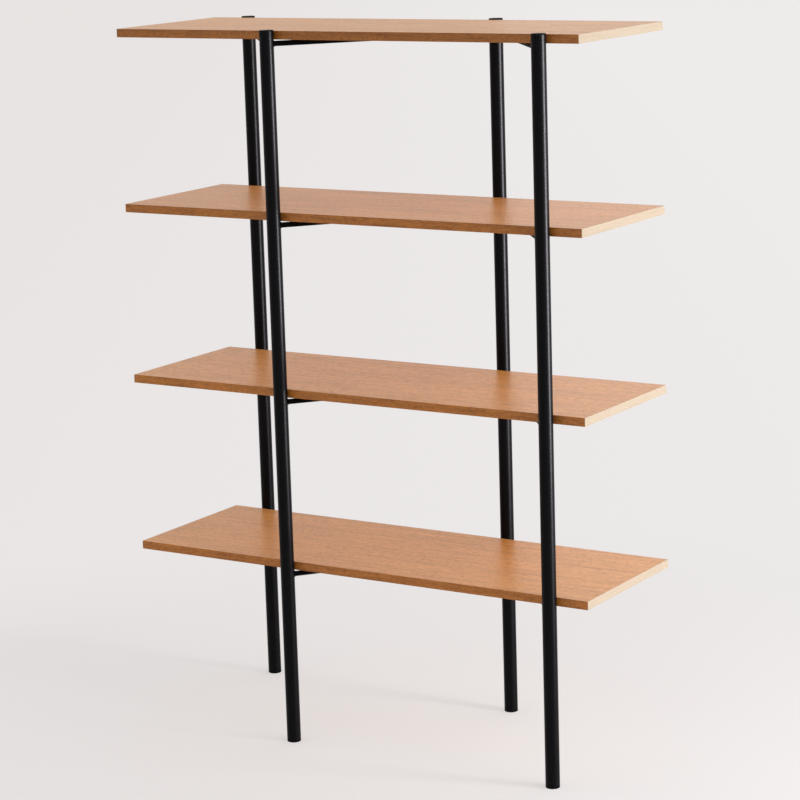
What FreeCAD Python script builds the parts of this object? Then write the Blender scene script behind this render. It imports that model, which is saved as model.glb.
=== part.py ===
import FreeCAD, Part
import math
import os

import Sketcher
from FreeCAD import Placement, Rotation, Vector

# Shelving unit: four oak-veneered boards held inside four black steel posts.
# The posts stand outside the long edges of the boards, two in front and two
# behind, spaced evenly along the length and taken from back and front in turn.
# Under each board a zigzag of round steel bars runs from post to post.
# +X runs along the boards, +Y to the back, +Z up. The origin is on the floor,
# under the middle of the unit. Lengths are in millimetres.

DRIVING_SIZES = [
    ("board_length", 1200, "length of a finished board"),
    ("board_depth", 386, "depth of a finished board, front to back"),
    ("core_thickness", 18, "fibreboard core"),
    ("veneer_thickness", 0.6, "oak veneer on each face"),
    ("band_thickness", 0.8, "oak edge band on each edge"),
    ("band_round", 0.4, "rounding of the outer arrises of a band"),
    ("lowest_board_height", 428, "floor to the upper face of the lowest board"),
    ("bay_pitch", 404, "upper face of one board to the upper face of the next"),
    ("post_diameter", 32, "outside of the post tube"),
    ("post_wall", 1.5, "wall of the post tube"),
    ("post_inset", 86, "end of the board to the axis of the outermost post"),
    ("post_clearance", 0.5, "post to the long edge of the board"),
    ("bar_diameter", 12, "round bar of the zigzag"),
    ("weld_leg", 2, "how far the seam weld spreads round the end of a bar"),
    ("tab_thickness", 2.5, "screw tab between bar and board"),
    ("tab_width", 16, "screw tab, along the bar"),
    ("tab_hole_spacing", 28, "between the two screw holes of a tab"),
    ("tab_hole_diameter", 4.6, "clearance hole for the screw"),
    ("tab_weld_length", 12, "weld that joins a tab to its bar, along the bar"),
    ("tab_weld_leg", 2.5, "size of that weld"),
    ("tab_weld_clearance", 0.1, "tab and its weld to the bar"),
    ("screw_diameter", 4, "wood screw, over the thread"),
    ("screw_length", 14, "wood screw, under its head"),
    ("screw_point", 3, "tapered point of the screw"),
    ("screw_head_diameter", 8, "pan head"),
    ("screw_head_height", 2.4, "pan head"),
    ("screw_head_round", 1.2, "rounding of the pan head"),
    ("screw_socket_width", 3, "six-sided socket, across its corners"),
    ("screw_socket_depth", 1.4, "six-sided socket"),
    ("pilot_clearance", 0.1, "screw to the wall of its hole in the board"),
    ("pilot_overrun", 1, "hole in the board beyond the end of the screw"),
    ("cap_head", 2.5, "part of the top cap that stands on the tube"),
    ("cap_round", 1, "rounding of the top cap"),
    ("foot_head", 5, "part of the foot that stands under the tube"),
    ("foot_round", 1.5, "rounding of the foot"),
    ("plug_length", 16, "part of a cap or foot inside the tube"),
    ("plug_wall", 2, "wall of that part"),
    ("plug_clearance", 1.2, "wall of that part to the bore of the tube"),
    ("fin_clearance", 0.15, "gripping fins to the bore of the tube"),
    ("fin_height", 1.6, "one fin, along the tube"),
    ("fin_pitch", 4, "one fin to the next"),
    ("cut_overrun", 1, "how far a cutter runs past the face that it opens"),
]
SHELF_COUNT = 4
FIN_COUNT = 3
SOCKET_SIDES = 6
SAME_PLACE = 0.01  # millimetres
FULL_TURN = 360  # degrees
HALF_TURN = 180  # degrees

doc = FreeCAD.newDocument("shelving_unit")
sheet = doc.addObject("Spreadsheet::Sheet", "sizes")
for row, (alias, value, note) in enumerate(DRIVING_SIZES, start=1):
    sheet.set(f"A{row}", note)
    sheet.set(f"B{row}", str(value))
    sheet.setAlias(f"B{row}", alias)
doc.recompute()

nodes = []


def size(alias):
    return float(sheet.get(alias))


board_thickness = size("core_thickness") + 2 * size("veneer_thickness")
post_radius = size("post_diameter") / 2
bar_radius = size("bar_diameter") / 2
outer_post_x = size("board_length") / 2 - size("post_inset")
inner_post_x = outer_post_x / 3
post_y = size("board_depth") / 2 + size("post_clearance") + post_radius
post_top = size("lowest_board_height") + (SHELF_COUNT - 1) * size("bay_pitch")

POST_PLACES = {
    "back_left": (-outer_post_x, post_y),
    "front_left": (-inner_post_x, -post_y),
    "back_right": (inner_post_x, post_y),
    "front_right": (outer_post_x, -post_y),
}
BARS = {
    "left_bar": ("front_left", "back_left"),
    "cross_bar": ("front_left", "back_right"),
    "right_bar": ("front_right", "back_right"),
}
# Where the tabs sit on each bar, as shares of its run.
TAB_SHARES = {
    "left_bar": (0.26, 0.74),
    "cross_bar": (0.5,),
    "right_bar": (0.26, 0.74),
}


def board_top(shelf):
    return size("lowest_board_height") + (shelf - 1) * size("bay_pitch")


def board_underside(shelf):
    return board_top(shelf) - board_thickness


def bar_height(shelf):
    return board_underside(shelf) - size("tab_thickness") - bar_radius


def bind(item, expressions):
    for prop, expression in expressions.items():
        item.setExpression(prop, expression)
    return item


def node(item, name):
    item.Label = name
    nodes.append(item)
    return item


def base_plane(body, role):
    return next(f for f in body.Origin.OriginFeatures if f.Role == role)


def new_sketch(body, role, name):
    sketch = body.newObject("Sketcher::SketchObject", name)
    sketch.AttachmentSupport = (base_plane(body, role), [""])
    sketch.MapMode = "FlatFace"
    return sketch


def constrain(sketch, name, expression, *constraint):
    """Add a constraint whose value follows the sheet."""
    row = sketch.addConstraint(Sketcher.Constraint(*constraint))
    sketch.renameConstraint(row, name)
    sketch.setExpression("Constraints." + name, expression)


def add_circle(sketch, name, diameter, expression):
    """A circle about the sketch's origin."""
    circle = sketch.addGeometry(Part.Circle(Vector(), Vector(0, 0, 1), diameter / 2))
    sketch.addConstraint(Sketcher.Constraint("Coincident", circle, 3, -1, 1))
    constrain(sketch, name, expression, "Diameter", circle, diameter)
    return circle


def add_polygon(sketch, points):
    """A closed outline; gives the number of its first side."""
    first = sketch.GeometryCount
    for start, end in zip(points, points[1:] + points[:1]):
        sketch.addGeometry(Part.LineSegment(Vector(*start, 0), Vector(*end, 0)))
    last = sketch.GeometryCount - 1
    for side in range(first, last):
        sketch.addConstraint(Sketcher.Constraint("Coincident", side, 2, side + 1, 1))
    sketch.addConstraint(Sketcher.Constraint("Coincident", last, 2, first, 1))
    return first


def hold_corners(sketch, first, corners, rules):
    """Hold every corner of an outline at a place given by the sheet.

    Each rule is an expression across and one up; None keeps the corner on the axis.
    """
    for number, (corner, rule) in enumerate(zip(corners, rules)):
        side = first + number
        for letter, axis, value, expression in zip("XY", (-2, -1), corner, rule):
            if expression is None:
                sketch.addConstraint(Sketcher.Constraint("PointOnObject", side, 1, axis))
            else:
                constrain(sketch, f"corner_{number}_{letter}", expression,
                          "Distance" + letter, -1, 1, side, 1, value)


def pad(body, sketch, name, length_expression, downwards=False, middle=False):
    feature = body.newObject("PartDesign::Pad", name)
    feature.Profile = sketch
    feature.Reversed = downwards
    feature.Midplane = middle
    bind(feature, {"Length": length_expression})
    return feature


def edges_at(shape, test):
    """Names of the edges whose middle passes the test."""
    found = []
    for number, edge in enumerate(shape.Edges, start=1):
        middle = edge.valueAt((edge.FirstParameter + edge.LastParameter) / 2)
        if test(edge, middle):
            found.append(f"Edge{number}")
    return found


def round_edges(body, feature, test, radius_expression):
    doc.recompute()
    fillet = body.newObject("PartDesign::Fillet", feature.Name + "_round")
    fillet.Base = (feature, edges_at(feature.Shape, test))
    bind(fillet, {"Radius": radius_expression})
    return fillet


def is_circle(edge):
    return isinstance(edge.Curve, Part.Circle)


def near(one, other):
    """Two places on the same piece that are the same but for rounding."""
    return math.isclose(one, other, abs_tol=SAME_PLACE)


def post(name, x, y):
    """A plain tube from the foot up to the face of the top board."""
    body = doc.addObject("PartDesign::Body", "post_" + name)
    ring = new_sketch(body, "XY_Plane", "ring")
    outside = size("post_diameter")
    bore = outside - 2 * size("post_wall")
    add_circle(ring, "outside", outside, "sizes.post_diameter")
    add_circle(ring, "bore", bore, "sizes.post_diameter - 2 * sizes.post_wall")
    top = f"sizes.lowest_board_height + {SHELF_COUNT - 1} * sizes.bay_pitch"
    pad(body, ring, "tube", f"{top} - sizes.foot_head")
    body.Placement = Placement(Vector(x, y, size("foot_head")), Rotation())
    return node(body, "post_" + name)


def tube_plug(name, head, rounding, place, turn):
    """A moulded plug: a flat round head, a hollow neck and gripping fins.

    The head's flat underside lies in the plane of the tube's end, and the neck
    reaches down into the tube.
    """
    body = doc.addObject("PartDesign::Body", name)
    disc = new_sketch(body, "XY_Plane", "disc")
    add_circle(disc, "edge", size("post_diameter"), "sizes.post_diameter")
    plate = pad(body, disc, "head", f"sizes.{head}")
    round_edges(
        body, plate,
        lambda edge, middle: is_circle(edge) and near(middle.z, size(head)),
        f"sizes.{rounding}")

    bore = size("post_diameter") - 2 * size("post_wall")
    neck_outside = bore - 2 * size("plug_clearance")
    neck_inside = neck_outside - 2 * size("plug_wall")
    bore_rule = "sizes.post_diameter - 2 * sizes.post_wall"
    neck_rule = f"{bore_rule} - 2 * sizes.plug_clearance"
    neck = new_sketch(body, "XY_Plane", "neck")
    add_circle(neck, "outside", neck_outside, neck_rule)
    add_circle(neck, "inside", neck_inside, f"{neck_rule} - 2 * sizes.plug_wall")
    pad(body, neck, "neck_tube", "sizes.plug_length", downwards=True)

    fin = new_sketch(body, "XZ_Plane", "fin")
    root = neck_outside / 2
    tip = bore / 2 - size("fin_clearance")
    inner = root - size("plug_wall") / 2
    low = -size("fin_pitch") - size("fin_height")
    high = -size("fin_pitch")
    corners = [(inner, low), (root, low), (tip, high), (inner, high)]
    first = add_polygon(fin, corners)
    root_rule = f"({neck_rule}) / 2"
    inner_rule = f"{root_rule} - sizes.plug_wall / 2"
    tip_rule = f"({bore_rule}) / 2 - sizes.fin_clearance"
    low_rule = "-sizes.fin_pitch - sizes.fin_height"
    high_rule = "-sizes.fin_pitch"
    hold_corners(fin, first, corners, [
        (inner_rule, low_rule),
        (root_rule, low_rule),
        (tip_rule, high_rule),
        (inner_rule, high_rule),
    ])
    ring = body.newObject("PartDesign::Revolution", "fin_ring")
    ring.Profile = fin
    ring.ReferenceAxis = (fin, ["V_Axis"])
    ring.Angle = FULL_TURN
    doc.recompute()
    row = body.newObject("PartDesign::LinearPattern", "fin_row")
    row.Originals = [ring]
    row.Direction = (fin, ["V_Axis"])
    row.Reversed = True
    row.Occurrences = FIN_COUNT
    bind(row, {"Length": f"{FIN_COUNT - 1} * sizes.fin_pitch"})
    body.Tip = row
    body.Placement = Placement(place, turn)
    return node(body, name)


def bar(shelf, name, start, end):
    """A round bar from post to post, coped to both tubes, with its seam welds."""
    first = Vector(*POST_PLACES[start], bar_height(shelf))
    last = Vector(*POST_PLACES[end], bar_height(shelf))
    run = last - first
    along = Rotation(Vector(0, 0, 1), run)
    back = Rotation(Vector(0, 0, 1), -run)
    label = f"shelf_{shelf}_{name}"

    rod = doc.addObject("Part::Cylinder", label + "_rod")
    rod.Height = run.Length
    rod.Placement = Placement(first, along)
    bind(rod, {"Radius": "sizes.bar_diameter / 2"})
    pieces = [rod]
    # The seam spreads from the bar on to the tube. Its wide end starts inside the
    # tube, below the side of the cope, and the cope then takes that part off.
    cope_depth = post_radius - math.sqrt(post_radius ** 2 - bar_radius ** 2)
    weld_start = post_radius - cope_depth - size("post_wall")
    for number, (place, turn) in enumerate(((first, along), (last, back))):
        weld = doc.addObject("Part::Cone", f"{label}_weld_{number}")
        bind(weld, {
            "Radius1": "sizes.bar_diameter / 2 + sizes.weld_leg + sizes.post_wall",
            "Radius2": "sizes.bar_diameter / 2",
            "Height": "2 * sizes.weld_leg + sizes.post_wall",
        })
        weld.Placement = Placement(place + turn.multVec(Vector(0, 0, weld_start)), turn)
        pieces.append(weld)
    blank = doc.addObject("Part::MultiFuse", label + "_blank")
    blank.Shapes = pieces

    tubes = []
    for number, place in enumerate((first, last)):
        tube = doc.addObject("Part::Cylinder", f"{label}_cope_{number}")
        bind(tube, {
            "Radius": "sizes.post_diameter / 2",
            "Height": "2 * sizes.post_diameter",
        })
        tube.Placement = Placement(place - Vector(0, 0, size("post_diameter")), Rotation())
        tubes.append(tube)
    copes = doc.addObject("Part::Compound", label + "_copes")
    copes.Links = tubes
    coped = doc.addObject("Part::Cut", label)
    coped.Base = blank
    coped.Tool = copes
    return node(coped, label)


def screw_tab():
    """The tab with rounded ends, two holes and a weld on each side of the bar.

    It lies with its upper face at z = 0, holes along X, and the bar along Y.
    """
    body = doc.addObject("PartDesign::Body", "screw_tab")
    outline = new_sketch(body, "XY_Plane", "outline")
    half = size("tab_hole_spacing") / 2
    radius = size("tab_width") / 2
    up = Vector(0, 0, 1)
    quarter = math.pi / 2
    right = outline.addGeometry(Part.ArcOfCircle(
        Part.Circle(Vector(half, 0, 0), up, radius), -quarter, quarter))
    far = outline.addGeometry(Part.LineSegment(Vector(half, radius, 0), Vector(-half, radius, 0)))
    left = outline.addGeometry(Part.ArcOfCircle(
        Part.Circle(Vector(-half, 0, 0), up, radius), quarter, 3 * quarter))
    close = outline.addGeometry(
        Part.LineSegment(Vector(-half, -radius, 0), Vector(half, -radius, 0)))
    for one, one_end, other, other_end in (
            (right, 2, far, 1), (far, 2, left, 1), (left, 2, close, 1), (close, 2, right, 1)):
        outline.addConstraint(Sketcher.Constraint("Tangent", one, one_end, other, other_end))
    outline.addConstraint(Sketcher.Constraint("PointOnObject", right, 3, -1))
    outline.addConstraint(Sketcher.Constraint("Symmetric", right, 3, left, 3, -1, 1))
    constrain(outline, "end_radius", "sizes.tab_width / 2", "Radius", right, radius)
    constrain(outline, "spacing", "sizes.tab_hole_spacing",
              "Distance", left, 3, right, 3, 2 * half)
    for number, (arc, x) in enumerate(((right, half), (left, -half))):
        hole = outline.addGeometry(
            Part.Circle(Vector(x, 0, 0), up, size("tab_hole_diameter") / 2))
        outline.addConstraint(Sketcher.Constraint("Coincident", hole, 3, arc, 3))
        constrain(outline, f"hole_{number}", "sizes.tab_hole_diameter",
                  "Diameter", hole, size("tab_hole_diameter"))
    pad(body, outline, "plate", "sizes.tab_thickness", downwards=True)

    seam = new_sketch(body, "XZ_Plane", "seam")
    wide = bar_radius + size("tab_weld_leg")
    face = -size("tab_thickness")
    foot = face - size("tab_weld_leg")
    corners = [(-wide, face), (wide, face), (bar_radius, foot), (-bar_radius, foot)]
    first = add_polygon(seam, corners)
    wide_rule = "sizes.bar_diameter / 2 + sizes.tab_weld_leg"
    foot_rule = "-sizes.tab_thickness - sizes.tab_weld_leg"
    hold_corners(seam, first, corners, [
        (f"-({wide_rule})", "-sizes.tab_thickness"),
        (wide_rule, "-sizes.tab_thickness"),
        ("sizes.bar_diameter / 2", foot_rule),
        ("-sizes.bar_diameter / 2", foot_rule),
    ])
    pad(body, seam, "weld", "sizes.tab_weld_length", middle=True)

    bed = new_sketch(body, "XZ_Plane", "bed")
    bed_radius = bar_radius + size("tab_weld_clearance")
    centre = face - bar_radius
    circle = bed.addGeometry(Part.Circle(Vector(0, centre, 0), up, bed_radius))
    bed.addConstraint(Sketcher.Constraint("PointOnObject", circle, 3, -2))
    constrain(bed, "height", "-sizes.tab_thickness - sizes.bar_diameter / 2",
              "DistanceY", -1, 1, circle, 3, centre)
    constrain(bed, "radius", "sizes.bar_diameter / 2 + sizes.tab_weld_clearance",
              "Radius", circle, bed_radius)
    doc.recompute()
    groove = body.newObject("PartDesign::Pocket", "bar_bed")
    groove.Profile = bed
    groove.Type = "ThroughAll"
    groove.Midplane = True
    return body


def wood_screw():
    """A pan-head screw, point up, with the underside of its head at z = 0."""
    body = doc.addObject("PartDesign::Body", "wood_screw")
    disc = new_sketch(body, "XY_Plane", "head_disc")
    add_circle(disc, "edge", size("screw_head_diameter"), "sizes.screw_head_diameter")
    head = pad(body, disc, "head", "sizes.screw_head_height", downwards=True)
    round_edges(
        body, head,
        lambda edge, middle: is_circle(edge) and near(middle.z, -size("screw_head_height")),
        "sizes.screw_head_round")
    shank = new_sketch(body, "XY_Plane", "shank")
    add_circle(shank, "thread", size("screw_diameter"), "sizes.screw_diameter")
    pad(body, shank, "shank_pad", "sizes.screw_length - sizes.screw_point")

    point = new_sketch(body, "XZ_Plane", "point")
    start = size("screw_length") - size("screw_point")
    corners = [(0, start), (size("screw_diameter") / 2, start), (0, size("screw_length"))]
    first = add_polygon(point, corners)
    hold_corners(point, first, corners, [
        (None, "sizes.screw_length - sizes.screw_point"),
        ("sizes.screw_diameter / 2", "sizes.screw_length - sizes.screw_point"),
        (None, "sizes.screw_length"),
    ])
    tip = body.newObject("PartDesign::Revolution", "tip")
    tip.Profile = point
    tip.ReferenceAxis = (point, ["V_Axis"])
    tip.Angle = FULL_TURN
    doc.recompute()

    socket = new_sketch(body, "XY_Plane", "socket")
    bind(socket, {"AttachmentOffset.Base.z": "-sizes.screw_head_height"})
    reach = size("screw_socket_width") / 2
    turns = [math.tau * corner / SOCKET_SIDES for corner in range(SOCKET_SIDES)]
    hexagon = add_polygon(
        socket, [(reach * math.cos(turn), reach * math.sin(turn)) for turn in turns])
    circle = socket.addGeometry(Part.Circle(Vector(), Vector(0, 0, 1), reach), True)
    socket.addConstraint(Sketcher.Constraint("Coincident", circle, 3, -1, 1))
    constrain(socket, "corners", "sizes.screw_socket_width",
              "Diameter", circle, size("screw_socket_width"))
    for corner in range(SOCKET_SIDES):
        socket.addConstraint(
            Sketcher.Constraint("PointOnObject", hexagon + corner, 1, circle))
    for corner in range(1, SOCKET_SIDES):
        socket.addConstraint(Sketcher.Constraint("Equal", hexagon, hexagon + corner))
    socket.addConstraint(Sketcher.Constraint("PointOnObject", hexagon, 1, -1))
    doc.recompute()
    recess = body.newObject("PartDesign::Pocket", "recess")
    recess.Profile = socket
    recess.Reversed = True
    bind(recess, {"Length": "sizes.screw_socket_depth"})
    return body


def tab_places():
    """Plan place and turn of every tab under a board."""
    places = []
    for name, (start, end) in BARS.items():
        first = Vector(*POST_PLACES[start], 0)
        run = Vector(*POST_PLACES[end], 0) - first
        turn = Rotation(Vector(0, 1, 0), run)
        for share in TAB_SHARES[name]:
            places.append((first + run * share, turn))
    return places


def screw_places():
    half = size("tab_hole_spacing") / 2
    return [
        (centre + turn.multVec(Vector(side * half, 0, 0)), turn)
        for centre, turn in tab_places()
        for side in (-1, 1)
    ]


def copies(master, label, places, z):
    """Separate solids of one kind, gathered in one group under a board."""
    links = []
    for number, (place, turn) in enumerate(places):
        link = doc.addObject("App::Link", f"{label}_{number}")
        link.LinkedObject = master
        link.Placement = Placement(place + Vector(0, 0, z), turn)
        links.append(link)
    group = doc.addObject("Part::Compound", label)
    group.Links = links
    return node(group, label)


def panel(name, thickness_rule, z):
    """A layer of the board inside its edge bands."""
    layer = doc.addObject("Part::Box", name)
    bind(layer, {
        "Length": "sizes.board_length - 2 * sizes.band_thickness",
        "Width": "sizes.board_depth - 2 * sizes.band_thickness",
        "Height": thickness_rule,
    })
    half_length = size("board_length") / 2 - size("band_thickness")
    half_depth = size("board_depth") / 2 - size("band_thickness")
    layer.Placement = Placement(Vector(-half_length, -half_depth, z), Rotation())
    return layer


def pilot_holes(name, underside):
    """Drills for the screws, from below the board up into its core."""
    drills = []
    for number, (place, turn) in enumerate(screw_places()):
        drill = doc.addObject("Part::Cylinder", f"{name}_{number}")
        bind(drill, {
            "Radius": "sizes.screw_diameter / 2 + sizes.pilot_clearance",
            "Height": "sizes.screw_length - sizes.tab_thickness"
                      " + sizes.pilot_overrun + sizes.cut_overrun",
        })
        low = Vector(0, 0, underside - size("cut_overrun"))
        drill.Placement = Placement(place + low, Rotation())
        drills.append(drill)
    group = doc.addObject("Part::Compound", name)
    group.Links = drills
    return group


def drilled(name, layer, drills):
    cut = doc.addObject("Part::Cut", name)
    cut.Base = layer
    cut.Tool = drills
    return node(cut, name)


def band(name, length_rule, side, along_x):
    """An edge band with both outer arrises rounded; side is -1 or 1."""
    body = doc.addObject("PartDesign::Body", name)
    section = new_sketch(body, "YZ_Plane" if along_x else "XZ_Plane", "section")
    across_board = "board_depth" if along_x else "board_length"
    outer_rule = f"sizes.{across_board} / 2"
    inner_rule = f"{outer_rule} - sizes.band_thickness"
    thick_rule = "sizes.core_thickness + 2 * sizes.veneer_thickness"
    outer = side * size(across_board) / 2
    inner = outer - side * size("band_thickness")
    corners = [(inner, 0), (outer, 0), (outer, board_thickness), (inner, board_thickness)]
    first = add_polygon(section, corners)
    sign = "-" if side < 0 else ""
    hold_corners(section, first, corners, [
        (f"{sign}({inner_rule})", None),
        (f"{sign}({outer_rule})", None),
        (f"{sign}({outer_rule})", thick_rule),
        (f"{sign}({inner_rule})", thick_rule),
    ])
    strip = pad(body, section, "strip", length_rule, middle=True)

    def outer_arris(edge, middle):
        across = middle.y if along_x else middle.x
        level = near(middle.z, 0) or near(middle.z, board_thickness)
        lengthways = edge.Length > board_thickness
        return lengthways and level and near(across, outer)

    round_edges(body, strip, outer_arris, "sizes.band_round")
    return body


def band_pair(label, length_rule, along_x, z):
    """The bands on two opposite edges of a board."""
    pair = [
        band(f"{label}_{word}", length_rule, side, along_x)
        for word, side in (("near", -1), ("far", 1))
    ]
    group = doc.addObject("Part::Compound", label)
    group.Links = pair
    group.Placement = Placement(Vector(0, 0, z), Rotation())
    return node(group, label)


def shelf(number, tab, screw):
    """A board with its veneers and edge bands, and the bars, tabs and screws below it."""
    label = f"shelf_{number}"
    underside = board_underside(number)
    core_low = underside + size("veneer_thickness")
    core_high = core_low + size("core_thickness")
    core = panel(label + "_core_blank", "sizes.core_thickness", core_low)
    lower = panel(label + "_lower_blank", "sizes.veneer_thickness", underside)
    upper = panel(label + "_upper_veneer", "sizes.veneer_thickness", core_high)
    drills = pilot_holes(label + "_drills", underside)
    drilled(label + "_core", core, drills)
    drilled(label + "_lower_veneer", lower, drills)
    node(upper, label + "_upper_veneer")
    band_pair(label + "_long_bands", "sizes.board_length - 2 * sizes.band_thickness",
              True, underside)
    band_pair(label + "_end_bands", "sizes.board_depth", False, underside)
    for name, (start, end) in BARS.items():
        bar(number, name, start, end)
    copies(tab, label + "_tabs", tab_places(), underside)
    copies(screw, label + "_screws", screw_places(), underside - size("tab_thickness"))


def check_document():
    broken = [
        item.Name for item in doc.Objects
        if "Invalid" in item.State or "Error" in item.State
    ]
    if broken:
        raise RuntimeError("failed objects: " + ", ".join(broken))
    for item in nodes:
        if item.Shape.isNull() or not item.Shape.isValid() or not item.Shape.Solids:
            raise RuntimeError("bad shape: " + item.Label)


for name, (x, y) in POST_PLACES.items():
    post(name, x, y)
    tube_plug("cap_" + name, "cap_head", "cap_round", Vector(x, y, post_top), Rotation())
    tube_plug("foot_" + name, "foot_head", "foot_round",
              Vector(x, y, size("foot_head")), Rotation(Vector(1, 0, 0), HALF_TURN))
tab_master = screw_tab()
screw_master = wood_screw()
for number in range(1, SHELF_COUNT + 1):
    shelf(number, tab_master, screw_master)

doc.recompute()
check_document()
os.makedirs("parts", exist_ok=True)
for item in nodes:
    item.Shape.exportStep(f"parts/{item.Label}.step")
    print(f"{item.Label}: {len(item.Shape.Solids)} solids, {item.Shape.Volume:.0f} mm3")
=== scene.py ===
import math

import bpy
from mathutils import Matrix, Vector

# The camera, as solved from the photograph. The lens and its sensor are in millimetres.
CAMERA_PLACE = Vector((3.2272, -5.0861, 2.0285))
CAMERA_YAW = 32.267
CAMERA_DOWN = 11.677
CAMERA_ROLL = 1.751
QUARTER_TURN = 90.0
LENS = 120.33
SENSOR_WIDTH = 36.0
CLIP_NEAR = 0.05
CLIP_FAR = 300.0

# Every lamp faces the aim point, and all but the sheen stand at one distance from it. The key is
# a tall softbox on the floor at the right end of the unit. It shows in no gloss, so the boards
# have no glare from any side.
AIM = Vector((0.0, 0.0, 0.85))
LAMP_DISTANCE = 3.1
BOX_AZIMUTH = 7.0
BOX_HEIGHT = 2.0
KEY_ELEVATION = 3.0
KEY_WIDTH = 0.6
KEY_POWER = 58.0
# In the same place, a narrower box that only the posts' gloss shows, as a streak down each post.
GLEAM_ELEVATION = 5.0
GLEAM_WIDTH = 0.4
GLEAM_POWER = 390.0
# Behind the unit, a box that only the boards' gloss shows, as a sheen towards their right ends.
SHEEN_PLACE = Vector((-0.25, 2.6, 1.45))
SHEEN_WIDTH = 1.7
SHEEN_HEIGHT = 1.5
SHEEN_POWER = 3.2
# A sun from the right gives the soft shadows on the floor. Its strength is in watts per square
# metre.
SIDE_AZIMUTH = -6.0
SIDE_ELEVATION = 45.0
SIDE_SPREAD = 20.0
SIDE_STRENGTH = 0.3
# How the names of a board's nodes end.
BOARD_PARTS = ("core", "veneer", "bands")

# How bright the room is towards each side of the unit: the axis, its sign and the brightness.
# Between the sides it blends.
ROOM_SIDES = {
    "right": ("X", 1.0, 1.15),
    "left": ("X", -1.0, 1.0),
    "back": ("Y", 1.0, 1.4),
    "front": ("Y", -1.0, 1.0),
    "above": ("Z", 1.0, 0.3),
}
BACKGROUND = (0.805, 0.788, 0.775)

# The floor as it is lit, with the unit's shadows.
FLOOR_RADIUS = 60.0
FLOOR_COLOUR = (0.90, 0.88, 0.88)
# The floor as the eye sees it: near the unit a share of the lit floor and its shadows is kept,
# which fades out between two distances. The rest is even. It is brighter to the right in the
# photograph, and takes the colour of the background far away.
SHADE_SHARE = 0.40
SHADE_FADES_FROM = 1.2
SHADE_FADES_TO = 1.9
# Painted light: the floor's even colour is painted brighter towards the right.
FLOOR_LEFT = (0.80, 0.773, 0.763)
FLOOR_RIGHT = (0.855, 0.835, 0.832)
FLOOR_RIGHT_AZIMUTH = 32.0
FLOOR_RIGHT_REACH = 2.2
FLOOR_ENDS_FROM = 25.0
FLOOR_ENDS_TO = 55.0

# The oak of the faces, the long edges and the ends of the boards: the size of its figure, with
# the faces' as 1, its gloss, and its stain, which is pale, deep and in the pores. The long edges'
# stain is darker than the faces', partly as the banding's own tone and partly as painted shade.
OAK_FACE = {
    "size": 1.0,
    "gloss": 0.35,
    "pale": (0.89, 0.412, 0.117),
    "deep": (0.77, 0.342, 0.092),
    "pore": (0.41, 0.158, 0.043),
}
OAK_LONG_EDGE = {
    "size": 0.55,
    "gloss": 0.30,
    "pale": (0.50, 0.180, 0.033),
    "deep": (0.40, 0.139, 0.024),
    "pore": (0.135, 0.041, 0.008),
}
OAK_END = {
    "size": 0.55,
    "gloss": 0.12,
    "pale": (0.53, 0.438, 0.336),
    "deep": (0.487, 0.394, 0.297),
    "pore": (0.43, 0.337, 0.244),
}
# Painted shade on the long edges: the share of that stain's brightness that each board's long
# edges have, from the lowest up.
LONG_EDGE_PAINTED_SHADE_SHARES = [1.0, 1.0, 0.90, 0.83]
# The posts are satin. The bars and tabs are matter, so they stay black when seen along their
# length.
POST_COAT = {"gloss": 0.08, "smooth": 0.30, "rough": 0.38}
BAR_COAT = {"gloss": 0.04, "smooth": 0.58, "rough": 0.66}

# The sockets of a Mix node that mixes colours.
MIX_SHARE = 0
MIX_FIRST = 6
MIX_SECOND = 7
MIX_RESULT = 2


class Graph:
    """Short ways to add nodes to a node tree."""

    def __init__(self, tree):
        self.tree = tree
        self.nodes = tree.nodes

    def feed(self, socket, value):
        """Gives a socket a number, a colour or what another socket puts out."""
        if isinstance(value, bpy.types.NodeSocket):
            self.tree.links.new(value, socket)
        elif isinstance(value, tuple):
            socket.default_value = (*value, 1.0)
        else:
            socket.default_value = value

    def calculated(self, operation, first, second):
        node = self.nodes.new("ShaderNodeMath")
        node.operation = operation
        self.feed(node.inputs[0], first)
        self.feed(node.inputs[1], second)
        return node.outputs["Value"]

    def mix(self, share, first, second):
        """Two colours, mixed by the value of a socket."""
        node = self.nodes.new("ShaderNodeMix")
        node.data_type = "RGBA"
        self.feed(node.inputs[MIX_SHARE], share)
        self.feed(node.inputs[MIX_FIRST], first)
        self.feed(node.inputs[MIX_SECOND], second)
        return node.outputs[MIX_RESULT]

    def span(self, value, low, high, to_low=0.0, to_high=1.0):
        """The value taken from one span to another, held at its ends."""
        node = self.nodes.new("ShaderNodeMapRange")
        node.inputs["From Min"].default_value = low
        node.inputs["From Max"].default_value = high
        node.inputs["To Min"].default_value = to_low
        node.inputs["To Max"].default_value = to_high
        self.feed(node.inputs["Value"], value)
        return node.outputs["Result"]

    def is_seen(self):
        """Is 1 where the eye sees a place, straight, in a gloss or through glass."""
        rays = self.nodes.new("ShaderNodeLightPath").outputs
        either = self.calculated("MAXIMUM", rays["Is Camera Ray"], rays["Is Glossy Ray"])
        return self.calculated("MAXIMUM", either, rays["Is Transmission Ray"])


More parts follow.
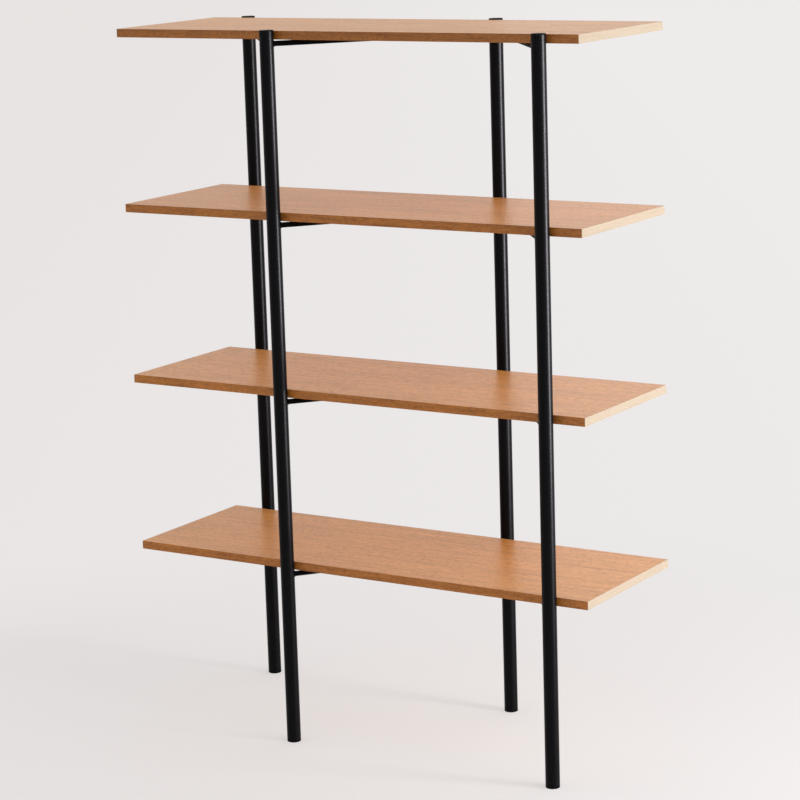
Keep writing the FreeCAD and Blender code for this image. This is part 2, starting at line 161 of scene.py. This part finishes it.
class Surface(Graph):
    """A material with one Principled shader, and short ways to give it a texture."""

    def __init__(self, name):
        self.material = bpy.data.materials.new(name)
        self.material.use_nodes = True
        super().__init__(self.material.node_tree)
        self.shader = self.nodes["Principled BSDF"]
        self.output = self.nodes["Material Output"]
        self.place = self.nodes.new("ShaderNodeTexCoord").outputs["Object"]

    def set(self, **values):
        for name, value in values.items():
            self.shader.inputs[name.replace("_", " ")].default_value = value

    def noise(self, cell, detail, roughness=0.5, distortion=0.0):
        """Noise whose features are about as large as the cell, a length along each axis."""
        scaled = self.nodes.new("ShaderNodeMapping")
        scaled.inputs["Scale"].default_value = [1.0 / length for length in cell]
        self.feed(scaled.inputs["Vector"], self.place)
        node = self.nodes.new("ShaderNodeTexNoise")
        node.inputs["Scale"].default_value = 1.0
        node.inputs["Detail"].default_value = detail
        node.inputs["Roughness"].default_value = roughness
        node.inputs["Distortion"].default_value = distortion
        self.feed(node.inputs["Vector"], scaled.outputs["Vector"])
        return node.outputs["Fac"]

    def mark(self, ground, layer, colour, sets_in, full, strength=1.0):
        """Lays a colour over the ground where a layer's noise rises from one level to another."""
        return self.mix(self.span(layer, sets_in, full, 0.0, strength), ground, colour)

    def colour(self, socket):
        self.feed(self.shader.inputs["Base Color"], socket)

    def rough(self, layer, least, most):
        self.feed(self.shader.inputs["Roughness"], self.span(layer, 0.0, 1.0, least, most))

    def bump(self, layer, depth):
        """Adds relief to what the surface has of it."""
        node = self.nodes.new("ShaderNodeBump")
        node.inputs["Distance"].default_value = depth
        self.feed(node.inputs["Height"], layer)
        normal = self.shader.inputs["Normal"]
        if normal.is_linked:
            self.feed(node.inputs["Normal"], normal.links[0].from_socket)
        self.feed(normal, node.outputs["Normal"])


def oak(name, along, size, gloss, pale, deep, pore):
    """Stained oak under a satin lacquer, its grain along the x or y axis."""
    surface = Surface(name)

    def grain(length, width, **settings):
        length *= size
        width *= size
        cell = (length, width, width) if along == "x" else (width, length, width)
        return surface.noise(cell, **settings)

    figure = grain(length=1.1, width=0.075, detail=3.0, distortion=0.6)
    streaks = grain(length=0.26, width=0.016, detail=6.0, roughness=0.75)
    flecks = grain(length=0.013, width=0.0058, detail=5.0, roughness=0.8)
    fibres = grain(length=0.09, width=0.0026, detail=4.0, roughness=0.7)
    pores = grain(length=0.012, width=0.0006, detail=1.0)
    wood = surface.mark(pale, figure, deep, sets_in=0.3, full=0.7)
    wood = surface.mark(wood, streaks, pore, sets_in=0.46, full=0.72, strength=0.6)
    wood = surface.mark(wood, flecks, pore, sets_in=0.5, full=0.68, strength=0.95)
    wood = surface.mark(wood, fibres, pore, sets_in=0.45, full=0.7, strength=0.45)
    wood = surface.mark(wood, pores, pore, sets_in=0.6, full=0.72, strength=0.6)
    surface.colour(wood)
    surface.set(Specular_IOR_Level=gloss)
    surface.rough(flecks, least=0.22, most=0.46)
    surface.bump(flecks, depth=0.0002)
    surface.bump(pores, depth=0.00006)
    return surface.material


def coated_steel(name, gloss, smooth, rough):
    """Black powder coat, with the fine unevenness of the baked powder."""
    surface = Surface(name)
    black = (0.0012, 0.0012, 0.0015)
    paler = (0.0020, 0.0019, 0.0023)
    violet_gloss = (0.96, 0.92, 1.0, 1.0)
    peel = surface.noise(cell=(0.0028, 0.0028, 0.0028), detail=2.0)
    patches = surface.noise(cell=(0.06, 0.06, 0.06), detail=2.0)
    surface.colour(surface.mix(patches, black, paler))
    surface.set(Specular_IOR_Level=gloss, Specular_Tint=violet_gloss)
    surface.rough(patches, smooth, rough)
    surface.bump(peel, depth=0.00004)
    return surface.material


def black_plastic(name):
    """Moulded black plastic with a fine sparked grain."""
    surface = Surface(name)
    black = (0.002, 0.002, 0.0024)
    paler = (0.006, 0.006, 0.0066)
    grain = surface.noise(cell=(0.0007, 0.0007, 0.0007), detail=2.0)
    surface.colour(surface.mix(grain, black, paler))
    surface.set(Specular_IOR_Level=0.04)
    surface.rough(grain, least=0.42, most=0.6)
    surface.bump(grain, depth=0.00003)
    return surface.material


def fibreboard(name):
    """Raw fibreboard: brown, with dark fibre specks."""
    surface = Surface(name)
    brown = (0.33, 0.22, 0.13)
    paler = (0.42, 0.29, 0.18)
    dark = (0.2, 0.12, 0.07)
    clouds = surface.noise(cell=(0.03, 0.03, 0.03), detail=2.0)
    specks = surface.noise(cell=(0.0012, 0.0012, 0.0008), detail=3.0, roughness=0.7)
    board = surface.mix(clouds, brown, paler)
    surface.colour(surface.mark(board, specks, dark, sets_in=0.5, full=0.75))
    surface.rough(specks, least=0.75, most=0.95)
    surface.bump(specks, depth=0.0001)
    return surface.material


def zinc(name):
    """Bright zinc plate with the faint cloudiness of small hardware."""
    surface = Surface(name)
    grey = (0.52, 0.53, 0.55)
    paler = (0.68, 0.69, 0.7)
    clouds = surface.noise(cell=(0.004, 0.004, 0.004), detail=3.0)
    surface.colour(surface.mix(clouds, grey, paler))
    surface.set(Metallic=1.0)
    surface.rough(clouds, least=0.22, most=0.42)
    surface.bump(clouds, depth=0.00002)
    return surface.material


def long_edge_oak_with_painted_shade(number, share):
    """The oak of one board's long edges, its stain darkened to a share as painted shade."""
    look = dict(OAK_LONG_EDGE)
    for shade in ("pale", "deep", "pore"):
        look[shade] = tuple(share * part for part in look[shade])
    return oak(f"oak_front_band_{number}", "x", **look)


def dress(nodes):
    """Gives every node of the model its finish, by how its name starts or ends."""
    face = oak("oak_veneer", "x", **OAK_FACE)
    bar_steel = coated_steel("matt_black_steel", **BAR_COAT)
    plastic = black_plastic("black_plastic")
    finishes = {
        "upper_veneer": face,
        "lower_veneer": face,
        "end_bands": oak("oak_end_band", "y", **OAK_END),
        "core": fibreboard("fibreboard"),
        "screws": zinc("zinc_screw"),
        "tabs": bar_steel,
        "bar": bar_steel,
        "post": coated_steel("black_steel", **POST_COAT),
        "cap": plastic,
        "foot": plastic,
    }
    # The upper boards' long edges get darker copies of one oak, as painted shade.
    for number, share in enumerate(LONG_EDGE_PAINTED_SHADE_SHARES, start=1):
        finishes[f"shelf_{number}_long_bands"] = long_edge_oak_with_painted_shade(number, share)
    for name, node in nodes.items():
        words = [word for word in finishes if name.startswith(word) or name.endswith(word)]
        node.data.materials.clear()
        node.data.materials.append(finishes[words[0]])


def towards(azimuth, elevation):
    """The unit vector of a plan angle, from +X towards +Y, and a height angle."""
    plan = math.radians(azimuth)
    lift = math.radians(elevation)
    level = math.cos(lift)
    return Vector((math.cos(plan) * level, math.sin(plan) * level, math.sin(lift)))


def round_the_unit(azimuth, elevation):
    """A place at the lamps' distance from the aim point."""
    return AIM + LAMP_DISTANCE * towards(azimuth, elevation)


def lamp(name, kind, place, energy):
    """A lamp that faces the aim point."""
    light = bpy.data.lights.new(name, kind)
    light.energy = energy
    piece = bpy.data.objects.new(name, light)
    bpy.context.scene.collection.objects.link(piece)
    piece.location = place
    piece.rotation_euler = (place - AIM).to_track_quat("Z", "Y").to_euler()
    piece.visible_camera = False
    return piece


def softbox(name, place, width, height, power):
    piece = lamp(name, "AREA", place, power)
    piece.data.shape = "RECTANGLE"
    piece.data.size = width
    piece.data.size_y = height
    return piece


def shown_in_gloss(piece, nodes):
    """Keeps a softbox to the gloss of some nodes."""
    piece.visible_diffuse = False
    receivers = bpy.data.collections.new(piece.name + "_shown_in")
    for node in nodes:
        receivers.objects.link(node)
    piece.light_linking.receiver_collection = receivers


def light_studio(nodes):
    posts = [node for name, node in nodes.items() if name.startswith("post")]
    boards = [node for name, node in nodes.items() if name.endswith(BOARD_PARTS)]
    place = round_the_unit(BOX_AZIMUTH, KEY_ELEVATION)
    key = softbox("key", place, KEY_WIDTH, BOX_HEIGHT, KEY_POWER)
    key.visible_glossy = False
    place = round_the_unit(BOX_AZIMUTH, GLEAM_ELEVATION)
    shown_in_gloss(softbox("gleam", place, GLEAM_WIDTH, BOX_HEIGHT, GLEAM_POWER), posts)
    shown_in_gloss(softbox("sheen", SHEEN_PLACE, SHEEN_WIDTH, SHEEN_HEIGHT, SHEEN_POWER), boards)
    side = lamp("side", "SUN", round_the_unit(SIDE_AZIMUTH, SIDE_ELEVATION), SIDE_STRENGTH)
    side.data.angle = math.radians(SIDE_SPREAD)


def surround():
    """The room around the unit: its own brightness towards each side, and to the eye an even
    pale background."""
    world = bpy.data.worlds.new("studio")
    world.use_nodes = True
    bpy.context.scene.world = world
    graph = Graph(world.node_tree)
    direction = graph.nodes.new("ShaderNodeSeparateXYZ")
    place = graph.nodes.new("ShaderNodeTexCoord")
    graph.feed(direction.inputs["Vector"], place.outputs["Generated"])
    level = 0.0
    for axis, sign, brightness in ROOM_SIDES.values():
        facing = graph.calculated("MULTIPLY", direction.outputs[axis], sign)
        facing = graph.calculated("MAXIMUM", facing, 0.0)
        share = graph.calculated("MULTIPLY", facing, facing)
        given = graph.calculated("MULTIPLY", share, brightness)
        level = graph.calculated("ADD", given, level)
    shown = graph.mix(graph.is_seen(), level, BACKGROUND)
    graph.feed(graph.nodes["Background"].inputs["Color"], shown)


def floor_material():
    """A pale seamless floor: near the unit it keeps the shadows softly, far off it is even."""
    surface = Surface("studio_floor")
    nodes = surface.nodes
    nodes.remove(surface.shader)
    length = nodes.new("ShaderNodeVectorMath")
    length.operation = "LENGTH"
    surface.feed(length.inputs[0], surface.place)
    distance = length.outputs["Value"]
    product = nodes.new("ShaderNodeVectorMath")
    product.operation = "DOT_PRODUCT"
    product.inputs[1].default_value = towards(FLOOR_RIGHT_AZIMUTH, 0.0)
    surface.feed(product.inputs[0], surface.place)
    # Painted light: the even colour brightens towards the right.
    rightness = surface.span(product.outputs["Value"], -FLOOR_RIGHT_REACH, FLOOR_RIGHT_REACH)
    plain = surface.mix(rightness, FLOOR_LEFT, FLOOR_RIGHT)
    farness = surface.span(distance, FLOOR_ENDS_FROM, FLOOR_ENDS_TO)
    plain = surface.mix(farness, plain, BACKGROUND)
    kept = surface.span(distance, SHADE_FADES_FROM, SHADE_FADES_TO, SHADE_SHARE, 0.0)
    unseen = surface.calculated("SUBTRACT", 1.0, surface.is_seen())
    even = nodes.new("ShaderNodeEmission")
    surface.feed(even.inputs["Color"], plain)
    lit = nodes.new("ShaderNodeBsdfDiffuse")
    surface.feed(lit.inputs["Color"], FLOOR_COLOUR)
    mixed = nodes.new("ShaderNodeMixShader")
    share, first, second = mixed.inputs
    surface.feed(share, surface.calculated("MAXIMUM", kept, unseen))
    surface.feed(first, even.outputs["Emission"])
    surface.feed(second, lit.outputs["BSDF"])
    surface.feed(surface.output.inputs["Surface"], mixed.outputs["Shader"])
    return surface.material


def lay_floor():
    mesh = bpy.data.meshes.new("floor")
    reach = FLOOR_RADIUS
    outline = [(-reach, -reach, 0), (reach, -reach, 0), (reach, reach, 0), (-reach, reach, 0)]
    mesh.from_pydata(outline, [], [tuple(range(len(outline)))])
    mesh.materials.append(floor_material())
    floor = bpy.data.objects.new("floor", mesh)
    bpy.context.scene.collection.objects.link(floor)


def place_camera():
    """The photograph's camera: turned, tilted down and rolled a little."""
    roll = math.radians(CAMERA_ROLL)
    ahead = towards(QUARTER_TURN + CAMERA_YAW, -CAMERA_DOWN)
    level = towards(CAMERA_YAW, 0.0)
    below = ahead.cross(level)
    right = math.cos(roll) * level + math.sin(roll) * below
    up = math.sin(roll) * level - math.cos(roll) * below
    turn = Matrix((right, up, -ahead)).transposed().to_4x4()
    data = bpy.data.cameras.new("camera")
    data.lens = LENS
    data.sensor_width = SENSOR_WIDTH
    data.clip_start = CLIP_NEAR
    data.clip_end = CLIP_FAR
    camera = bpy.data.objects.new("camera", data)
    camera.matrix_world = Matrix.Translation(CAMERA_PLACE) @ turn
    bpy.context.scene.collection.objects.link(camera)
    bpy.context.scene.camera = camera


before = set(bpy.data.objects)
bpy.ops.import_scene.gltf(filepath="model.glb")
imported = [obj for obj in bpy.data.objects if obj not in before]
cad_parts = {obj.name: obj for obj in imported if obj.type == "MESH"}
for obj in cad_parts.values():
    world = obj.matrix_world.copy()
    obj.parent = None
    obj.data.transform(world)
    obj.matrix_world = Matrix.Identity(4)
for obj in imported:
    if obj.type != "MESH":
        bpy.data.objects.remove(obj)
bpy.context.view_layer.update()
dress(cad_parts)
lay_floor()
surround()
light_studio(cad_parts)
place_camera()
bpy.context.scene.view_settings.view_transform = "Standard"
